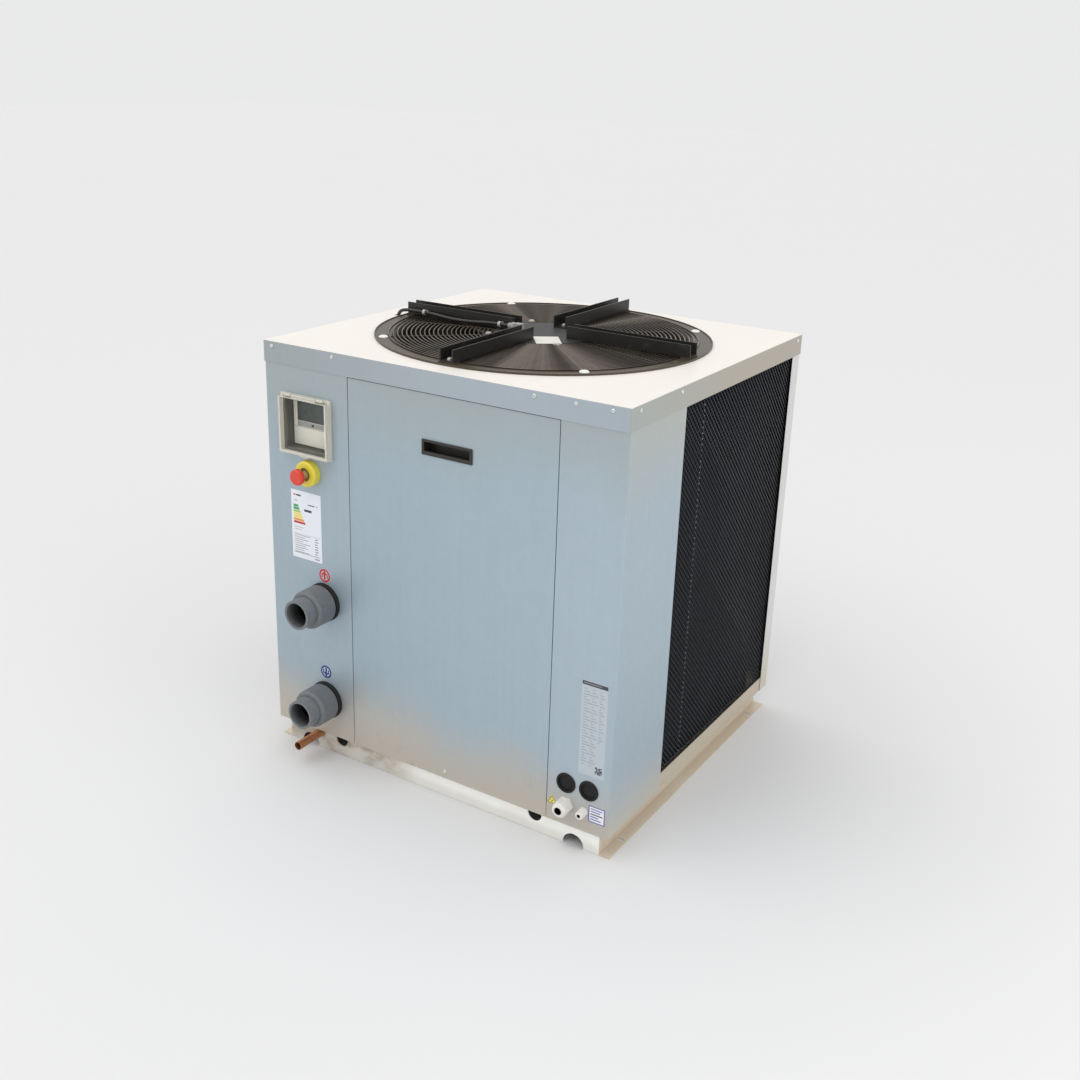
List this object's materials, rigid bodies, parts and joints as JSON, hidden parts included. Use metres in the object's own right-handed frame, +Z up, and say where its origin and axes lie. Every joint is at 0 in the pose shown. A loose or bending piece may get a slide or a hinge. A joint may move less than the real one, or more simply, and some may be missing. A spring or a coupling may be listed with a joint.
{
  "type": "pool heat pump",
  "caption": "Upright pool heat pump: sheet-steel cabinet on rails, vertical fan in the top, wrap-round coil, water unions, windowed controller and stop button on the front.",
  "frame": {"origin": "on the floor, at the centre of the four anchor slots in the base rails", "axes": "+X runs right along the front, +Y to the back, +Z up"},
  "size_m": [1.0052, 1.0336, 1.11],
  "materials": {
    "galvanised": "bright galvanised",
    "panel": "satin blue-grey",
    "cover": "satin off-white",
    "zinc": "zinc plated",
    "fan_black": "satin black",
    "black_plastic": "matt",
    "grey_plastic": "moulded PVC grey",
    "white_plastic": "moulded white",
    "label": "printed film",
    "coil": "black coated",
    "copper": "copper, lightly tarnished",
    "recess": "matt dark grey",
    "display": "dark display",
    "clear": "clear polycarbonate",
    "window_frame": "milky beige",
    "yellow": "yellow moulded",
    "red": "red moulded",
    "stem": "turned",
    "vessel_black": "black enamel"
  },
  "bodies": {
    "cabinet": {"base_tray": "galvanised", "cross_rails": "galvanised", "side_rails": "galvanised", "front_posts": "galvanised", "coil_end_plates": "galvanised", "electrical_box": "galvanised", "left_front_panel": "panel", "right_front_panel": "panel", "rear_posts": "panel", "top_cover": "cover", "cabinet_screws": "zinc", "fan_bolts": "zinc", "window_hinge_pin": "zinc", "fan_ring": "fan_black", "fan_guard": "fan_black", "fan_arms": "fan_black", "motor_stator": "fan_black", "compressor_feet": "black_plastic", "blanking_grommets": "black_plastic", "pipe_gaskets": "black_plastic", "motor_cable": "black_plastic", "motor_gland": "grey_plastic", "union_bodies": "grey_plastic", "union_tails": "grey_plastic", "contactors": "grey_plastic", "estop_block": "grey_plastic", "cable_clips": "white_plastic", "controller_body": "white_plastic", "cable_glands": "white_plastic", "gland_nuts": "white_plastic", "heat_exchanger": "white_plastic", "motor_label": "label", "energy_label": "label", "nameplate": "label", "notice_labels": "label", "flow_stickers": "label", "coil_fins": "coil", "coil_side_guards": "coil", "coil_back_guard": "coil", "coil_pipework": "copper", "drain_pipe": "copper", "refrigerant_pipes": "copper", "reversing_valve": "copper", "controller_box": "recess", "controller_screen": "display", "window_frame": "window_frame", "estop_collar": "yellow", "compressor": "vessel_black", "accumulator": "vessel_black"},
    "fan": {"motor_rotor": "fan_black", "fan_impeller": "fan_black"},
    "access_door": {"access_panel": "panel", "handle_cup": "black_plastic", "access_screw": "zinc"},
    "window": {"window_cover": "clear"},
    "key": {"controller_key": "recess"},
    "stop_plunger": {"estop_stem": "stem"},
    "stop_head": {"estop_mushroom": "red"},
    "outlet_nut": {"outlet_union_nut": "grey_plastic"},
    "inlet_nut": {"inlet_union_nut": "grey_plastic"}
  },
  "joints": [
    {"name": "fan_spin", "type": "hinge", "parent": "cabinet", "child": "fan", "pos_m": [-0.006, 0.01, 1], "axis": [0, 0, 1], "continuous": true},
    {"name": "access_lift_off", "type": "slide", "parent": "cabinet", "child": "access_door", "axis": [0, -1, 0], "range_m": [0, 0.35]},
    {"name": "window_swing", "type": "hinge", "parent": "cabinet", "child": "window", "pos_m": [-0.371, -0.4725, 0.951], "axis": [-1, 0, 0], "range_deg": [0, 110]},
    {"name": "key_press", "type": "slide", "parent": "cabinet", "child": "key", "axis": [0, 1, 0], "range_m": [0, 0.0012], "stiffness_N_per_m": 400},
    {"name": "estop_press", "type": "slide", "parent": "cabinet", "child": "stop_plunger", "axis": [0, 1, 0], "range_m": [0, 0.005], "stiffness_N_per_m": 900},
    {"name": "estop_twist", "type": "hinge", "parent": "stop_plunger", "child": "stop_head", "pos_m": [-0.367, -0.505, 0.763], "axis": [0, 1, 0], "range_deg": [0, 45], "stiffness_Nm_per_rad": 0.05},
    {"name": "outlet_nut_turn", "type": "hinge", "parent": "cabinet", "child": "outlet_nut", "pos_m": [-0.332, -0.5, 0.431], "axis": [0, -1, 0], "continuous": true},
    {"name": "inlet_nut_turn", "type": "hinge", "parent": "cabinet", "child": "inlet_nut", "pos_m": [-0.332, -0.5, 0.157], "axis": [0, -1, 0], "continuous": true}
  ]
}
